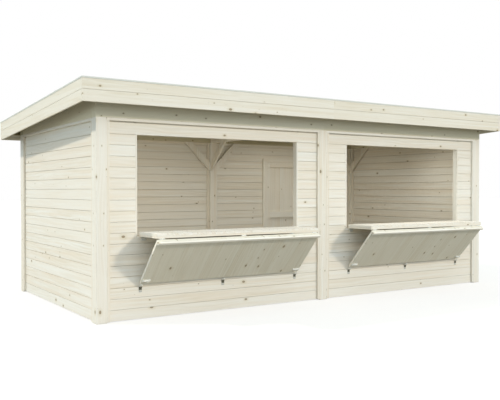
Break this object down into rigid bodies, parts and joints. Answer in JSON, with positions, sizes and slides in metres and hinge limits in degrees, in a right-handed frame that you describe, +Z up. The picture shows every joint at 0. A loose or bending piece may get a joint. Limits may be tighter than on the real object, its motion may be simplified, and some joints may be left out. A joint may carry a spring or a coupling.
{
  "type": "wooden market stall",
  "caption": "Boarded timber market stall with a flat sloping roof, folding serving hatches that open into counters along the front, and a rear door.",
  "frame": {"origin": "on the ground, in the middle of the box round the stall with its hatches open", "axes": "+X along the serving front to the viewer's right, +Y from the serving front to the rear, +Z up"},
  "size_m": [6.396, 3.5266, 2.4952],
  "materials": {
    "timber": "planed pale softwood, untreated",
    "roofing_felt": "matt mineral felt",
    "zinc_steel": "zinc plated"
  },
  "bodies": {
    "stall": {"front_posts": "timber", "rear_posts": "timber", "front_header": "timber", "rear_header": "timber", "side_headers": "timber", "centre_tie": "timber", "purlins": "timber", "knee_braces": "timber", "left_wall": "timber", "right_wall": "timber", "front_left_wall_low": "timber", "front_left_wall_piers": "timber", "front_left_wall_top": "timber", "front_right_wall_low": "timber", "front_right_wall_piers": "timber", "front_right_wall_top": "timber", "rear_left_wall": "timber", "rear_right_wall_beside": "timber", "rear_right_wall_over": "timber", "front_laths": "timber", "rear_laths": "timber", "side_laths": "timber", "left_opening_lining": "timber", "right_opening_lining": "timber", "sill_hinge_plates": "zinc_steel", "flap_catches": "zinc_steel", "door_frame": "timber", "door_hinge_plates": "zinc_steel", "roof_deck": "timber", "roof_felt": "roofing_felt", "front_fascia": "timber", "rear_fascia": "timber", "side_fascias": "timber", "eaves_battens": "timber"},
    "left_counter_leaf": {"left_counter": "timber", "left_counter_hinges": "zinc_steel"},
    "left_flap_leaf": {"left_flap": "timber", "left_flap_hinges": "zinc_steel", "left_bolts": "zinc_steel"},
    "right_counter_leaf": {"right_counter": "timber", "right_counter_hinges": "zinc_steel"},
    "right_flap_leaf": {"right_flap": "timber", "right_flap_hinges": "zinc_steel", "right_bolts": "zinc_steel"},
    "rear_door": {"door_leaf": "timber", "door_straps": "zinc_steel", "door_handle": "zinc_steel"}
  },
  "joints": [
    {"name": "left_counter_hinge", "type": "hinge", "parent": "stall", "child": "left_counter_leaf", "pos_m": [-1.46, -1.28368, 0.879], "axis": [-1, 0, 0], "range_deg": [0, 90]},
    {"name": "left_flap_hinge", "type": "hinge", "parent": "left_counter_leaf", "child": "left_flap_leaf", "pos_m": [-1.46, -1.72294, 0.881], "axis": [-1, 0, 0], "range_deg": [0, 132.07]},
    {"name": "right_counter_hinge", "type": "hinge", "parent": "stall", "child": "right_counter_leaf", "pos_m": [1.46, -1.28368, 0.879], "axis": [-1, 0, 0], "range_deg": [0, 90]},
    {"name": "right_flap_hinge", "type": "hinge", "parent": "right_counter_leaf", "child": "right_flap_leaf", "pos_m": [1.46, -1.72294, 0.881], "axis": [-1, 0, 0], "range_deg": [0, 132.07]},
    {"name": "rear_door_hinge", "type": "hinge", "parent": "stall", "child": "rear_door", "pos_m": [1.024, 1.54532, 0.95], "axis": [0, 0, 1], "range_deg": [0, 100]}
  ]
}
